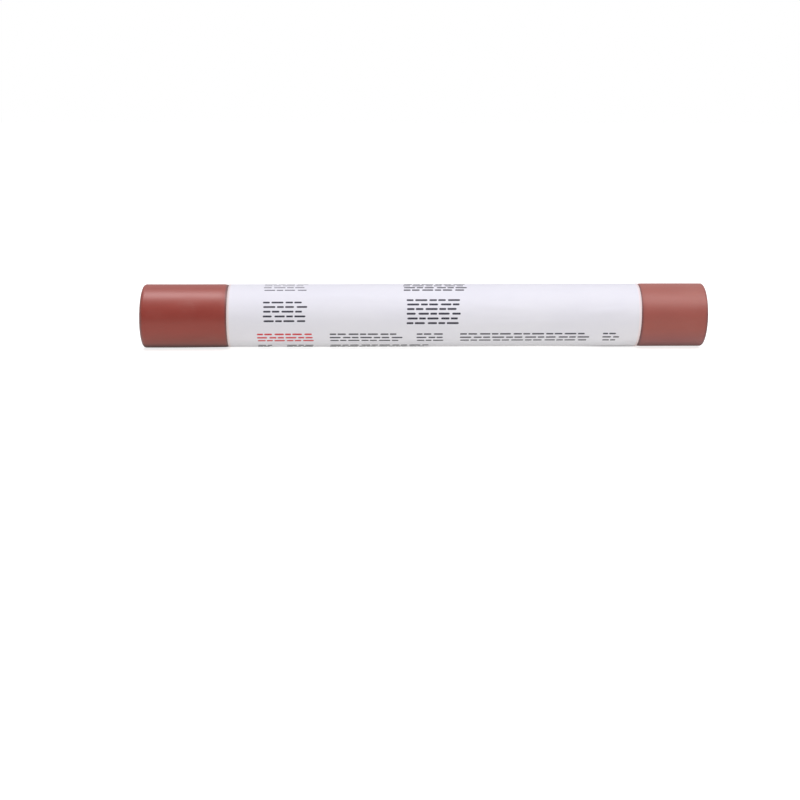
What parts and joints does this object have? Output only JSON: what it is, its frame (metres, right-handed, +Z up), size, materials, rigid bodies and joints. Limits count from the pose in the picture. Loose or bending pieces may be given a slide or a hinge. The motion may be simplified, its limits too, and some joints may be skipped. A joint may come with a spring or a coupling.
{
  "type": "furniture repair wax stick",
  "caption": "Round stick of coloured hard wax with a plain white paper label wrapped once round its middle, both ends left bare for rubbing into scratches.",
  "frame": {"origin": "on the table under the middle of the stick as it lies on its side", "axes": "+X along the stick from the moulded end to the poured end, +Y to the back, where the label laps over itself, +Z up"},
  "size_m": [0.11, 0.0123, 0.0122],
  "materials": {
    "wax": "satin",
    "adhesive": "satin",
    "paper": "matte"
  },
  "bodies": {
    "root": {"wax_stick": "wax", "label_adhesive": "adhesive", "label_paper": "paper"}
  },
  "joints": []
}
